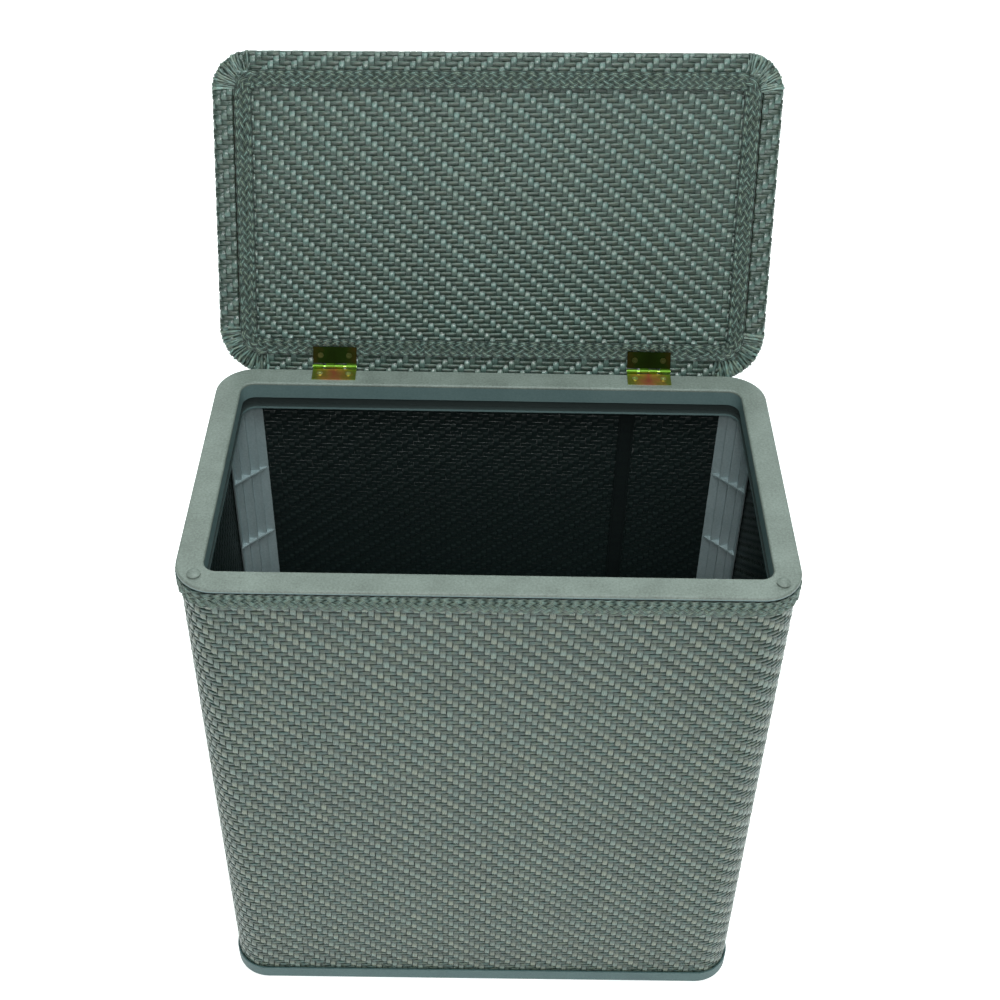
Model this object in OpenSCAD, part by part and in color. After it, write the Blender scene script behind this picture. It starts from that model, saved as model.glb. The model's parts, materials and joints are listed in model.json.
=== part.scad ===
// Laundry hamper with a hinged lid: a woven-fibre box on four ribbed corner posts,
// between a moulded rim frame and a moulded base tray.
// Origin: centre of the tray's underside. +X right, +Y back, +Z up. The front faces -Y.
// The lid is drawn open, leaning back on its stop.

/* [Body] */
// Outer width of the rim frame
rim_w = 500; // [420:5:600]
// Outer depth of the rim frame
rim_d = 292; // [240:2:360]
// Height of the rim frame's top face
rim_z = 550; // [468:82:632]
// Thickness of the woven wall
wall_t = 3; // [2:0.5:4]
// Outer corner radius of the rim frame
corner_r = 34; // [30:1:40]

/* [Rim frame] */
// Width of the rim's flat top
flange_w = 22.5; // [20:0.5:24]
// Height of the rim's outer edge
rim_edge_h = 3.4; // [3:0.1:4]
// Width of the plaited braids
braid_w = 16; // [12:1:16]
// Thickness of the plaited braids
braid_t = 2.3; // [1.5:0.1:2.4]

/* [Corner posts] */
// Length of each leg of a post's triangle, along the walls
post_leg = 31; // [26:1:34]
// Number of flutes in a post's face
flutes = 4; // [3:1:5]
// Height from one cross floor to the next
post_bay = 82; // [82:1:82]

/* [Lid] */
// Lid width
lid_w = 503; // [420:1:602]
// Lid thickness
lid_t = 19; // [16:1:24]
// Margin from the lid's edge to the braid
braid_margin = 20; // [16:1:24]
// Distance from the hinge axis to the lid's front edge
lid_reach = 282; // [235:1:288]
// How far the lid opens from shut, in degrees
lid_open = 113.5; // [90:0.5:114.5]

/* [Hinges] */
// Distance between the two hinges' centres
hinge_span = 290; // [200:10:340]
// Length of one hinge
hinge_len = 40; // [38:1:44]
// Diameter of the knuckle barrel
barrel_d = 4.2; // [4.2:0.1:4.4]
// Diameter of the hinge pin
pin_d = 2; // [1.8:0.1:2.2]

/* [Hidden] */
eps = 0.01;
leaf_t = 1;
leaf_reach = 18;
screw_head_r = 2.6;
screw_head_h = 0.8;
screw_r = 1.4;
pin_play = 0.05;
post_screw_r = 2;
post_screw_head_r = 2.8;
post_screw_head_h = 2.4;
post_screw_l = 15;
post_screw_at = 10.6;

wall_inset = 1.5;
wall_gap = 0.8;
wall_w = rim_w - 2 * wall_inset;
wall_d = rim_d - 2 * wall_inset;
wall_r = corner_r - wall_inset;
tray_edge = 1.5;
rim_round = 1.8;
step_back = 6.5;
lip_back = 1.2;
tray_floor = 4;
lip_z = 17;
boss_z = 22;
rim_drop = 30;
post_z0 = boss_z;
post_z1 = rim_z - rim_drop;
floor_t = 3;

axis_y = rim_d / 2 + 2;
axis_z = rim_z + barrel_d / 2;
lid_under = axis_z + barrel_d / 2;
lid_front = axis_y - lid_reach;
lid_back = axis_y + 10.2;
lid_d = lid_back - lid_front;
lid_mid = (lid_back + lid_front) / 2;
cover_t = 2.5;
braid_front = lid_front + 16;
braid_back = axis_y - 10;
bumper_h = lid_under - rim_z - 0.3;

// ---- helpers ----

// A rectangle with round corners, centred
module round_rect(w, d, r) {
    square([w - 2 * r, d], center = true);
    square([w, d - 2 * r], center = true);
    for (sx = [-1, 1], sy = [-1, 1])
        translate([sx * (w / 2 - r), sy * (d / 2 - r)])
            circle(r, $fn = 96);
}

// A wall that follows a rectangle with round corners
module ring(w, d, r, t, h) {
    linear_extrude(h)
        difference() {
            round_rect(w, d, r);
            round_rect(w - 2 * t, d - 2 * t, r - t);
        }
}

// Sweep a profile round a rectangle. The profile's x is the distance outside the
// rectangle's edge, so what lies inside is negative; its y is the height.
module around(w, d, r) {
    for (side = [0:3]) {
        len = side % 2 == 0 ? d - 2 * r : w - 2 * r;
        out = side % 2 == 0 ? w / 2 : d / 2;
        rotate([0, 0, 90 * side])
            translate([out, 0, 0])
                rotate([90, 0, 0])
                    linear_extrude(len, center = true)
                        children();
        cx = side % 2 == 0 ? w / 2 - r : d / 2 - r;
        cy = side % 2 == 0 ? d / 2 - r : w / 2 - r;
        rotate([0, 0, 90 * side])
            translate([cx, cy, 0])
                rotate_extrude(angle = 90, $fn = 96)
                    translate([r, 0])
                        children();
    }
}

// Move a lid piece, drawn shut, to where it stands when the lid is open
module opened() {
    translate([0, axis_y, axis_z])
        rotate([-lid_open, 0, 0])
            translate([0, -axis_y, -axis_z])
                children();
}

module each_hinge() {
    for (s = [-1, 1])
        translate([s * hinge_span / 2, 0, 0])
            children();
}

// Both screw places in one leaf, at the middle of the leaf's flat
module leaf_screw_places() {
    for (s = [-1, 1])
        translate([s * hinge_len * 0.325, axis_y - leaf_reach * 0.56, 0])
            children();
}

// A corner of the inside of the wall; +X and +Y of the child run along its two walls
module at_corner(sx, sy) {
    translate([sx * (wall_w / 2 - wall_t), sy * (wall_d / 2 - wall_t), 0])
        mirror([sx > 0 ? 1 : 0, 0, 0])
            mirror([0, sy > 0 ? 1 : 0, 0])
                children();
}

module all_corners() {
    for (sx = [-1, 1], sy = [-1, 1])
        at_corner(sx, sy)
            children();
}

// ---- moulded frame ----

module quarter(r) {
    intersection() {
        circle(r, $fn = 64);
        square(r);
    }
}

// Section of the rim: rounded outer edge, flat top, two-step inner skirt with a lip
module rim_section() {
    translate([-rim_round, -rim_round])
        quarter(rim_round);
    translate([-rim_round, -rim_edge_h])
        square([rim_round, rim_edge_h - rim_round]);
    translate([2 - flange_w, -3])
        square([flange_w - 2 - rim_round, 3]);
    translate([2 - flange_w, -2])
        circle(2, $fn = 48);
    translate([-flange_w, -15])
        square([2.5, 13]);
    translate([-flange_w, -16.5])
        square([step_back + 2, 1.5 + eps]);
    translate([step_back - flange_w, -rim_drop])
        square([2, rim_drop - 15]);
    translate([lip_back - flange_w, -rim_drop])
        square([step_back + 2 - lip_back, 2.5]);
    translate([-wall_inset - wall_t - 2.3, -16])
        square([2, 14]);
}

// A three-cornered boss in each corner that takes a post's screw
module corner_boss(z0, z1, leg) {
    translate([0, 0, z0])
        linear_extrude(z1 - z0)
            intersection() {
                polygon([[0.3, 0.3], [leg, 0.3], [leg, 3], [3, leg], [0.3, leg]]);
                translate([wall_w / 2 - wall_t, wall_d / 2 - wall_t])
                    round_rect(wall_w - 2 * wall_t - 0.6, wall_d - 2 * wall_t - 0.6, wall_r - wall_t);
            }
}

// Hole for a post's screw, behind the post's fluted sheet
module screw_hole(z0, z1) {
    translate([post_screw_at, post_screw_at, z0])
        cylinder(h = z1 - z0, r = post_screw_r, $fn = 48);
}

module rim_frame() {
    color("#8a948e")
        difference() {
            union() {
                translate([0, 0, rim_z])
                    around(rim_w, rim_d, corner_r)
                        rim_section();
                all_corners()
                    corner_boss(post_z1, rim_z - 2, 24);
            }
            all_corners()
                screw_hole(post_z1 - 1, post_z1 + 16);
            each_hinge()
                leaf_screw_places()
                    translate([0, 0, rim_z - 10])
                        cylinder(h = 20, r = screw_r, $fn = 48);
        }
}

// Section of the tray's edge: a rounded foot, a lip outside the wall, a rib inside
module tray_section() {
    difference() {
        union() {
            translate([-22, 0])
                square([22, tray_floor]);
            translate([0.1 - tray_edge, 0])
                square([tray_edge - 0.1, lip_z]);
            translate([-tray_edge - wall_t - 2.3, 0])
                square([2, lip_z + 1]);
        }
        translate([-tray_floor, 0])
            difference() {
                square(tray_floor);
                translate([0, tray_floor])
                    circle(tray_floor, $fn = 64);
            }
    }
}

module base_tray() {
    w = wall_w + 2 * tray_edge;
    d = wall_d + 2 * tray_edge;
    color("#59696a")
        difference() {
            union() {
                around(w, d, wall_r + tray_edge)
                    tray_section();
                linear_extrude(tray_floor)
                    square([w - 40, d - 40], center = true);
                all_corners()
                    corner_boss(tray_floor, boss_z, 31);
            }
            all_corners()
                screw_hole(boss_z - 14, boss_z + 1);
        }
}

// Front of a post: tips on the diagonal, valleys set back towards the corner
function tip(i) = [post_leg * (1 - i / flutes), post_leg * i / flutes];
function valley(i) = (tip(i) + tip(i + 1)) / 2 - [1, 1] * (post_leg / flutes / 2 + 1.1);
function clear_of_wall(p, gap) = [max(p.x, gap), max(p.y, gap)];
function front_line() = concat(
    [for (i = [0:flutes - 1]) each [tip(i), valley(i)]],
    [tip(flutes)]
);

module post_sheet() {
    front = [for (p = front_line()) clear_of_wall(p, 1.9)];
    back = [for (p = front_line()) clear_of_wall(p - [1.3, 1.3], 0.3)];
    n = len(back);
    polygon(concat(front, [for (i = [n - 1:-1:0]) back[i]]));
}

module post_floor(i) {
    a = clear_of_wall(tip(i), 1);
    b = clear_of_wall(tip(i + 1), 1);
    c = clear_of_wall(valley(i) - [0.4, 0.4], 1);
    polygon([a, b, c]);
}

// Fluted corner post, with a cross floor in every flute at each bay
module corner_post(sx, sy) {
    color("#8d9296")
        at_corner(sx, sy)
            difference() {
                union() {
                    intersection() {
                        translate([0, 0, post_z0])
                            linear_extrude(post_z1 - post_z0)
                                post_sheet();
                        translate([wall_w / 2 - wall_t, wall_d / 2 - wall_t, post_z0 - 1])
                            linear_extrude(post_z1 - post_z0 + 2)
                                round_rect(
                                    wall_w - 2 * wall_t - 0.6,
                                    wall_d - 2 * wall_t - 0.6,
                                    wall_r - wall_t
                                );
                    }
                    for (z = [post_z1 - floor_t - post_bay:-post_bay:post_z0 + post_bay / 2])
                        translate([0, 0, z])
                            linear_extrude(1.8)
                                for (i = [0:flutes - 1])
                                    post_floor(i);
                    corner_boss(post_z0, post_z0 + floor_t, post_leg - 0.5);
                    corner_boss(post_z1 - floor_t, post_z1, post_leg - 0.5);
                }
                screw_hole(post_z0 - 1, post_z0 + floor_t + 1);
                screw_hole(post_z1 - floor_t - 1, post_z1 + 1);
            }
}

// Pan-head screw, pointing up, the underside of its head at z = 0
module post_screw() {
    cylinder(h = post_screw_l, r = post_screw_r, $fn = 48);
    translate([0, 0, -post_screw_head_h])
        cylinder(h = post_screw_head_h, r = post_screw_head_r, $fn = 48);
}

module post_top_screws() {
    color("silver")
        all_corners()
            translate([post_screw_at, post_screw_at, post_z1 - floor_t])
                post_screw();
}

module post_base_screws() {
    color("silver")
        all_corners()
            translate([post_screw_at, post_screw_at, post_z0 + floor_t])
                mirror([0, 0, 1])
                    post_screw();
}

// ---- woven parts of the body ----

module woven_wall() {
    color("#667068")
        translate([0, 0, tray_floor])
            ring(wall_w, wall_d, wall_r, wall_t, rim_z - rim_edge_h - wall_gap - tray_floor);
}

// Flat strip over the joint where the wall's two ends meet, inside the back
module wall_seam_strip() {
    color("#2e3836")
        translate([128, wall_d / 2 - wall_t - 1.5, 20])
            translate([-7, 0, 0])
                cube([14, 1.5, rim_z - 16 - 20 - 1]);
}

module rim_braid() {
    color("#5a6761")
        translate([0, 0, rim_z - rim_edge_h - wall_gap / 2 - braid_w])
            ring(wall_w + 2 * braid_t, wall_d + 2 * braid_t, wall_r + braid_t, braid_t, braid_w);
}

// ---- hinges and lid rests ----

// Which stretches of the hinge's length belong to the leaf on the rim and on the lid
function knuckles(on_lid) = on_lid
    ? [[-0.2, 0.0], [0.27, 0.5]]
    : [[-0.5, -0.27], [0.01, 0.2]];

// One leaf, drawn lying on the rim; the barrel runs along X at the axis
module leaf(on_lid) {
    bore = pin_d / 2 + (on_lid ? pin_play : 0);
    translate([0, axis_y, rim_z])
        difference() {
            union() {
                translate([-hinge_len / 2, -leaf_reach, 0])
                    cube([hinge_len, leaf_reach - 2.6, leaf_t]);
                for (k = knuckles(on_lid)) {
                    x0 = k[0] * hinge_len;
                    l = (k[1] - k[0]) * hinge_len;
                    translate([x0, -3, 0])
                        cube([l, 3, leaf_t]);
                    translate([x0, 0, barrel_d / 2])
                        rotate([0, 90, 0])
                            cylinder(h = l, r = barrel_d / 2, $fn = 64);
                }
            }
            translate([-hinge_len, 0, barrel_d / 2])
                rotate([0, 90, 0])
                    cylinder(h = 2 * hinge_len, r = bore, $fn = 64);
            translate([0, -axis_y, 0])
                leaf_screw_places()
                    translate([0, 0, -1])
                        cylinder(h = 3, r = screw_r, $fn = 48);
        }
}

module rim_leaf(s) {
    color("#a8954e")
        translate([s * hinge_span / 2, 0, 0])
            leaf(false);
}

module lid_leaf(s) {
    color("#5a5a2a")
        opened()
            translate([s * hinge_span / 2, 0, 2 * axis_z])
                mirror([0, 0, 1])
                    leaf(true);
}

module hinge_pin(s) {
    color("#b8a860")
        translate([s * hinge_span / 2 - hinge_len / 2 - 0.3, axis_y, axis_z])
            rotate([0, 90, 0])
                cylinder(h = hinge_len + 0.6, r = pin_d / 2, $fn = 64);
}

// Wood screw with a low ring head, pointing down, its head's underside at z = 0
module leaf_screw(length) {
    translate([0, 0, -length])
        cylinder(h = length, r = screw_r, $fn = 48);
    difference() {
        cylinder(h = screw_head_h, r = screw_head_r, $fn = 48);
        translate([0, 0, 0.3])
            cylinder(h = 1, r = 1, $fn = 48);
    }
}

module rim_leaf_screws() {
    color("#c8bd7a")
        each_hinge()
            leaf_screw_places()
                translate([0, 0, rim_z + leaf_t])
                    leaf_screw(5);
}

module lid_leaf_screws() {
    color("#c8bd7a")
        opened()
            each_hinge()
                leaf_screw_places()
                    translate([0, 0, lid_under - leaf_t])
                        mirror([0, 0, 1])
                            leaf_screw(10);
}

// Domed rests in the rim's two front corners
module lid_rest_bumpers() {
    color("#7f8a84")
        for (s = [-1, 1])
            translate([s * (rim_w / 2 - 17), -rim_d / 2 + 17, rim_z])
                rotate_extrude($fn = 64)
                    intersection() {
                        square([5.5, bumper_h]);
                        translate([0, bumper_h - 8])
                            circle(8, $fn = 96);
                    }
}

// ---- lid, drawn shut ----

// Section of the lid's edge: wide round above, small round below
module lid_edge_section(t, r_low, r_high, reach) {
    translate([-r_low, r_low])
        mirror([0, 1])
            quarter(r_low);
    translate([-r_high, t - r_high])
        quarter(r_high);
    translate([-r_high, r_low])
        square([r_high, t - r_high - r_low]);
    translate([-reach, 0])
        square([reach - r_high + eps, t]);
    translate([-r_high, 0])
        square([r_high - r_low, r_low + eps]);
}

module lid_slab(grow, z, t, r_low, r_high) {
    w = lid_w + 2 * grow;
    d = lid_d + 2 * grow;
    r = corner_r + grow;
    translate([0, lid_mid, z]) {
        around(w, d, r)
            lid_edge_section(t, r_low, r_high, 20);
        linear_extrude(t)
            square([w - 30, d - 30], center = true);
    }
}

// Holes for the lid leaves' screws
module lid_screw_holes() {
    each_hinge()
        leaf_screw_places()
            translate([0, 0, lid_under - 1])
                cylinder(h = 10, r = screw_r, $fn = 48);
}

module lid_board() {
    color("#9a8566")
        opened()
            difference() {
                lid_slab(-cover_t, lid_under + cover_t, lid_t - 2 * cover_t, 1.5, 7);
                lid_screw_holes();
            }
}

// Where the lining sits, inside the cover's turned edge
module lining_area(t, gap) {
    translate([0, (braid_front + braid_back) / 2, lid_under])
        linear_extrude(t)
            round_rect(
                lid_w - 2 * braid_margin - 2 * gap,
                braid_back - braid_front - 2 * gap,
                12
            );
}

module lid_cover() {
    color("#5f6b65")
        opened()
            difference() {
                lid_slab(0, lid_under, lid_t, 4, 9);
                lid_slab(-cover_t, lid_under + cover_t, lid_t - 2 * cover_t, 1.5, 7);
                translate([0, 0, -1])
                    lining_area(cover_t + 2, 4);
                lid_screw_holes();
            }
}

module lid_lining() {
    color("#566660")
        opened()
            lining_area(cover_t, 4);
}

// Plaited border over the joint between cover and lining, let in round the leaves
module lid_braid() {
    w = lid_w - 2 * braid_margin;
    d = braid_back - braid_front;
    color("#56635d")
        opened()
            difference() {
                translate([0, (braid_front + braid_back) / 2, lid_under - 2])
                    ring(w, d, 16, braid_w, 2);
                each_hinge()
                    translate([-hinge_len / 2 - 0.5, axis_y - leaf_reach - 0.5, lid_under - 5])
                        cube([hinge_len + 1, leaf_reach, 10]);
            }
}

rim_frame();
base_tray();
corner_post(-1, -1);  // corner_post_front_left
corner_post(1, -1);  // corner_post_front_right
corner_post(-1, 1);  // corner_post_rear_left
corner_post(1, 1);  // corner_post_rear_right
woven_wall();
wall_seam_strip();
rim_braid();
lid_rest_bumpers();
post_top_screws();
post_base_screws();
rim_leaf(-1);  // left_rim_leaf
rim_leaf(1);  // right_rim_leaf
hinge_pin(-1);  // left_hinge_pin
hinge_pin(1);  // right_hinge_pin
rim_leaf_screws();
lid_board();
lid_cover();
lid_lining();
lid_braid();
lid_leaf(-1);  // left_lid_leaf
lid_leaf(1);  // right_lid_leaf
lid_leaf_screws();
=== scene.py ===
"""Looks of a laundry hamper, round its CAD frame: woven strands, plaits, moulded plastic and
plated hinges.

Shapes are worked out in millimetres and turned into metres when a mesh is made.
Lid pieces are laid out on the shut lid and then turned to where the lid stands open.
"""
import json
import math

import bpy
import numpy as np
from mathutils import Matrix, Vector


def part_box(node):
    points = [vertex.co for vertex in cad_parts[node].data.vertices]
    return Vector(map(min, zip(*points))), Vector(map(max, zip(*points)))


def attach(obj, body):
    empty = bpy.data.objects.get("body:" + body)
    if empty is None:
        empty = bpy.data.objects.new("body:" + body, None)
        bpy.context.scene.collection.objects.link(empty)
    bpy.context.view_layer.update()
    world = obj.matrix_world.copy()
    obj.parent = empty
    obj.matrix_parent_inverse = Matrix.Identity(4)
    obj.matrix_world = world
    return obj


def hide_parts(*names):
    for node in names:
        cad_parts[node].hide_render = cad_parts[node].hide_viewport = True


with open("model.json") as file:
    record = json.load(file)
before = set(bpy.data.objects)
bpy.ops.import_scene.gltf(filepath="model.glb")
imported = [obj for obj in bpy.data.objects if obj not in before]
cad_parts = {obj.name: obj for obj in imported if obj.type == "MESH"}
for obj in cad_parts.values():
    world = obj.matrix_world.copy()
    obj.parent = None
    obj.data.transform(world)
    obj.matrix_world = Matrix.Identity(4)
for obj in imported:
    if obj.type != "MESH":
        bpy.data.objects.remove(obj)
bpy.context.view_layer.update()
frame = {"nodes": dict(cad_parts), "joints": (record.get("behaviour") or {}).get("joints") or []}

MM = 0.001
rng = np.random.default_rng(41)


# ---- sizes ----

def box_mm(node):
    """Lowest and highest corner of a CAD node, in millimetres."""
    return [np.array(corner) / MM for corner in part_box(node)]


wall_low, wall_high = box_mm("woven_wall")
rim_low, rim_high = box_mm("rim_frame")
WALL_CORNER = 32.5          # outer corner radius of the wall
WALL_DEPTH = 1.7            # how far the strands' middle surface lies inside the wall's face
WALL_COLUMNS = 292          # strands round the wall, a multiple of the twill's repeat of 4
ROW = 4.29                  # height of one row of weaving
COLUMN = 5.16               # width of one column of weaving on the lid
LID_CORNER = 34.0
LID_REAR_CORNER = 45.0      # the hand-turned corners on the hinge side are rounder
LID_SKEW = 0.012            # how much farther the cover reaches on the right, per unit of width
LID_SHIFT = 1.8             # how far the cover's front edge lies to the right
LID_FLARE = 0.8             # how far each end of that edge spreads outwards
LID_ROUND_TOP = 9.0         # radius of the lid's outer edge
LID_ROUND_UNDER = 4.0       # radius of the lid's edge underneath
LID_DEPTH = 1.7             # how far the cloth's middle surface lies inside the lid's face
LID_TURN_UNDER = 24.0       # how far the cover reaches in under the lid
FOLD_ROOM = 0.6             # how far the cloth sinks at a corner, under the folds
FOLD_RUN = 18.0             # length of cloth over which it sinks that far
BRAID_W = 16.0
PLAIT_STEP = 58.0           # length in which a plait repeats
PLAIT_RINGS = 32            # rings of a fibre in that length
PLAIT_SWING = 0.85          # how far a plait's strands swing in and out
PRESSED = 0.15              # how far under the lid's surface the plait is pressed by a leaf

RIM_SHELF = 16.4            # depth of the inner shelf's underside below the rim's top
RIM_FACE = 2.4              # how far the face's rounded edges reach down
RIM_LIP = 2.2               # height of the front of the lip round the rim's lower edge

hinge = frame["joints"][0]
axis_y, axis_z = hinge["pos_m"][1] / MM, hinge["pos_m"][2] / MM
lean = math.radians(max(hinge["range_deg"]))


def turn_lid(points, angle):
    """Turn points about the hinge's axis, backwards for a positive angle."""
    c, s = math.cos(angle), math.sin(angle)
    y, z = points[..., 1] - axis_y, points[..., 2] - axis_z
    return np.stack([points[..., 0], axis_y + y * c + z * s, axis_z - y * s + z * c], -1)


def shut_box(node):
    """Lowest and highest corner that a lid node has when the lid is shut, in millimetres."""
    points = np.array([v.co for v in frame["nodes"][node].data.vertices]) / MM
    points = turn_lid(points, -lean)
    return points.min(0), points.max(0)


lid_low, lid_high = shut_box("lid_cover")
lining_low, lining_high = shut_box("lid_lining")
braid_low, braid_high = shut_box("lid_braid")
leaf_boxes = [shut_box(side + "_lid_leaf") for side in ("left", "right")]
lid_under = lid_low[2]


# ---- meshes made of tubes ----

class Tubes:
    """Closed tubes that become one mesh, with what their material reads at each point."""

    def __init__(self, sides):
        self.sides = sides
        self.count = 0
        self.points, self.fibre, self.shade, self.chart = [], [], [], []
        self.quads, self.backs = [], []

    def add(self, rings, across, along, seed, shade, chart, closed=False):
        """Add tubes. rings is (tubes, rings, sides, 3), and the others spread to its first three."""
        shape = rings.shape[:3]
        self.points.append(rings.reshape(-1, 3))
        parts = [np.broadcast_to(part, shape).ravel() for part in (across, along, seed)]
        self.fibre.append(np.stack(parts, -1))
        self.shade.append(np.broadcast_to(shade, shape).ravel())
        self.chart.append(np.stack([np.broadcast_to(c, shape).ravel() for c in chart], -1))
        index = self.count + np.arange(np.prod(shape)).reshape(shape)
        self.count += index.size
        here = index if closed else index[:, :-1]
        there = np.roll(index, -1, 1) if closed else index[:, 1:]
        around = [here, np.roll(here, -1, 2), np.roll(there, -1, 2), there]
        quads = np.stack(around, -1)
        back = np.zeros(quads.shape[:3], bool)
        back[:, :, self.sides // 2 + 1:] = True
        self.quads.append(quads.reshape(-1, 4))
        self.backs.append(back.ravel())
        if not closed:
            for ring, order in ((index[:, 0], -1), (index[:, -1], 1)):
                for first in range(1, self.sides - 2, 2):
                    cap = ring[:, [0, first, first + 1, first + 2]][:, ::order]
                    self.quads.append(cap)
                    self.backs.append(np.zeros(len(cap), bool))

    def build(self, name, body, slot, materials, stands_for=(), two_sided=False):
        """Make the object. With two_sided, the tubes' flat backs take the second material."""
        points, quads = np.concatenate(self.points) * MM, np.concatenate(self.quads)
        backs = np.concatenate(self.backs) if two_sided else np.zeros(len(quads), bool)
        mesh = bpy.data.meshes.new(name)
        mesh.vertices.add(len(points))
        mesh.vertices.foreach_set("co", points.astype(np.float32).ravel())
        mesh.loops.add(quads.size)
        mesh.loops.foreach_set("vertex_index", quads.astype(np.int32).ravel())
        mesh.polygons.add(len(quads))
        mesh.polygons.foreach_set("loop_start", np.arange(0, quads.size, 4, dtype=np.int32))
        mesh.update(calc_edges=True)
        mesh.polygons.foreach_set("use_smooth", ~backs)
        for material in materials:
            mesh.materials.append(material)
        mesh.polygons.foreach_set("material_index", backs.astype(np.int32))
        fibre = mesh.attributes.new("fibre", "FLOAT_VECTOR", "POINT")
        fibre.data.foreach_set("vector", np.concatenate(self.fibre).astype(np.float32).ravel())
        shade = mesh.attributes.new("shade", "FLOAT", "POINT")
        shade.data.foreach_set("value", np.concatenate(self.shade).astype(np.float32))
        chart = np.concatenate(self.chart)[quads]
        low, high = chart.min((0, 1)), chart.max((0, 1))
        chart = (chart - low) / (high - low) * 0.996 + 0.002
        if two_sided:
            chart[..., 0] = chart[..., 0] / 2 + 0.5 * backs[:, None]
        layer = mesh.uv_layers.new(name="OFBake")
        layer.data.foreach_set("uv", chart.astype(np.float32).ravel())
        piece = bpy.data.objects.new(name, mesh)
        bpy.context.scene.collection.objects.link(piece)
        return place_piece(piece, body, stands_for)


def place_piece(piece, body, stands_for):
    """Hang a piece on the body that it rides on, and hide the CAD nodes that it stands for."""
    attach(piece, body)
    if stands_for:
        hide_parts(*stands_for)
    return piece


# ---- weaving ----

class Strand:
    """Section of a flat strand: its width, how far it swings in and out, how high its crown is,
    where the crown's flat starts and ends across the width, and how much lighter the end of
    each float is that lies towards the lid's front, a painted highlight, with painted shade on
    the float's other end."""

    def __init__(self, width, swing, crown, flat, painted_light_end=0.0):
        self.width, self.swing, self.crown, self.painted_light_end = width, swing, crown, painted_light_end
        self.across = np.array([-0.5, flat[0], flat[1], 0.5])
        self.rise = np.array([0.0, 1.0, 1.0, 0.0])


STAKE = Strand(5.25, 0.75, 0.5, (-0.4, 0.4))
WEAVER = Strand(3.8, 0.4, 0.62, (-0.34, 0.3))
LID_STAKE = Strand(5.35, 0.75, 0.34, (-0.43, 0.43), 0.9)
LID_WEAVER = Strand(4.15, 0.4, 0.5, (-0.28, 0.44))
WEAVER_RISE = 0.22          # the weavers are beaten up against the row above
FLOAT_BELLY = 1.15          # height of a float's middle, against its height over each crossing
STRAY = 0.10                # how far a strand strays sideways
RIPPLE = 0.03               # how far its surface ripples
WIDTH_SPREAD = 0.025        # spread of the strands' widths
CROWN_SPREAD = 0.06         # spread of the height of their crowns


def stake_on_top(column, row):
    """True where the upright strand shows: a 2/2 twill that moves by one column with each row."""
    return (column - row) % 4 < 2


def swing(on_top, strand, closed=False):
    """Height of each strand's middle line at the edge and the middle of each cell it crosses."""
    state = np.where(on_top, strand.swing, -strand.swing)
    before = np.roll(state, 1, 1)
    edges = (before + state) / 2 * FLOAT_BELLY
    last = edges[:, :1].copy()
    if not closed:
        edges[:, 0] = state[:, 0]
        last = state[:, -1:]
    heights = np.empty((state.shape[0], 2 * state.shape[1] + 1))
    heights[:, 1::2] = state
    heights[:, :-1:2] = edges
    heights[:, -1:] = last
    return heights


def wander(shape, reach, amount):
    """Smooth random drift along each strand."""
    noise = rng.normal(size=(shape[0], shape[1] + 2 * reach))
    kernel = np.hanning(2 * reach + 3)[1:-1]
    kernel /= np.sqrt((kernel ** 2).sum())
    rows = [np.convolve(row, kernel, "valid") for row in noise]
    return amount * np.array(rows)[:, :shape[1]]


def lay(tubes, surface, upright, centre, samples, height, strand, facing, seed, shade):
    """Lay strands on a surface. Upright ones run along v at u = centre, the others along u.
    facing is 1, or -1 on the lid's lining, where the surface is turned over."""
    count = height.shape
    drift = wander(count, 6, STRAY)
    width = strand.width * (1 + rng.normal(scale=WIDTH_SPREAD, size=(count[0], 1)))
    side = strand.across * width[..., None]
    crown = strand.crown * (1 + rng.normal(scale=CROWN_SPREAD, size=count))
    # Painted highlight and painted shade: each float is lightened at one end and darkened at the
    # other, as the light falls on it.
    shade = shade - facing * strand.painted_light_end * np.gradient(height, axis=1)
    # Painted shade: a strand is darkened where it dips under another.
    shade = shade * (0.08 + 0.92 * np.clip(height / strand.swing, 0, 1))
    ripple = wander(count, 4, RIPPLE)
    rise = height[..., None] + strand.rise * crown[..., None] + ripple[..., None]
    middle = centre[:, None] + drift
    if upright:
        u = middle[..., None] + facing * side
        v = samples[None, :, None] + 0 * u
    else:
        v = middle[..., None] + facing * (WEAVER_RISE - side)
        u = samples[None, :, None] + 0 * v
    tubes.add(surface(u, v, rise), side, samples[None, :, None], seed[:, None, None],
              shade[..., None], (u, v))


def float_shades(on_top_shift, count):
    """One tone for each stretch of two cells that a strand floats over or under, at each sample.
    on_top_shift says where in the twill's repeat each strand starts."""
    strands, cells = count
    tones = rng.random((strands, cells // 2 + 3))
    own = rng.random((strands, 1))
    sample = np.arange(2 * cells + 1) / 2
    stretch = np.floor((sample[None, :] + on_top_shift[:, None]) / 2).astype(int)
    picked = np.take_along_axis(tones, np.clip(stretch, 0, tones.shape[1] - 1), 1)
    return 0.35 + 0.35 * picked + 0.2 * own


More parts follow.
